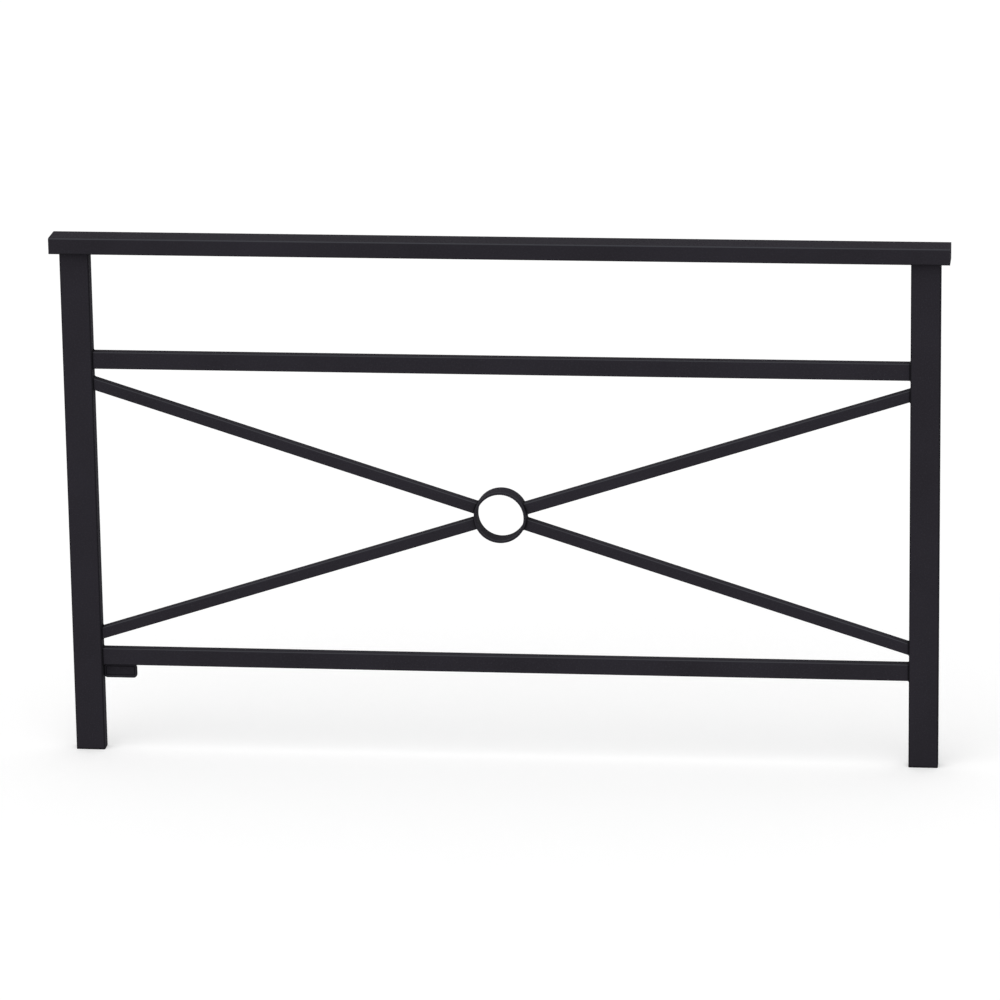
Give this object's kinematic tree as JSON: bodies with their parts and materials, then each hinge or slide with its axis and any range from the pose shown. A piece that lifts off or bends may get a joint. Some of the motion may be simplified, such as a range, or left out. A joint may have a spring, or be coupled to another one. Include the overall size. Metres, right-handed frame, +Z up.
{
  "type": "street barrier",
  "caption": "Straight pedestrian barrier of rectangular steel tube: handrail on posts, rails between them and a St Andrew's cross that meets a ring, painted dark grey.",
  "frame": {"origin": "middle of the left post's foot, on the plane of both feet", "axes": "+X along the barrier from the left post to the right post, +Y from the front to the back, +Z up"},
  "size_m": [2, 0.072, 1.2],
  "materials": {
    "powder_coat": "fine-textured matt powder coat in charcoal grey"
  },
  "bodies": {
    "root": {"left_post": "powder_coat", "right_post": "powder_coat", "handrail": "powder_coat", "handrail_left_cap": "powder_coat", "handrail_right_cap": "powder_coat", "upper_rail": "powder_coat", "lower_rail": "powder_coat", "upper_left_brace": "powder_coat", "upper_right_brace": "powder_coat", "lower_left_brace": "powder_coat", "lower_right_brace": "powder_coat", "centre_ring": "powder_coat", "corner_plate": "powder_coat"}
  },
  "joints": []
}
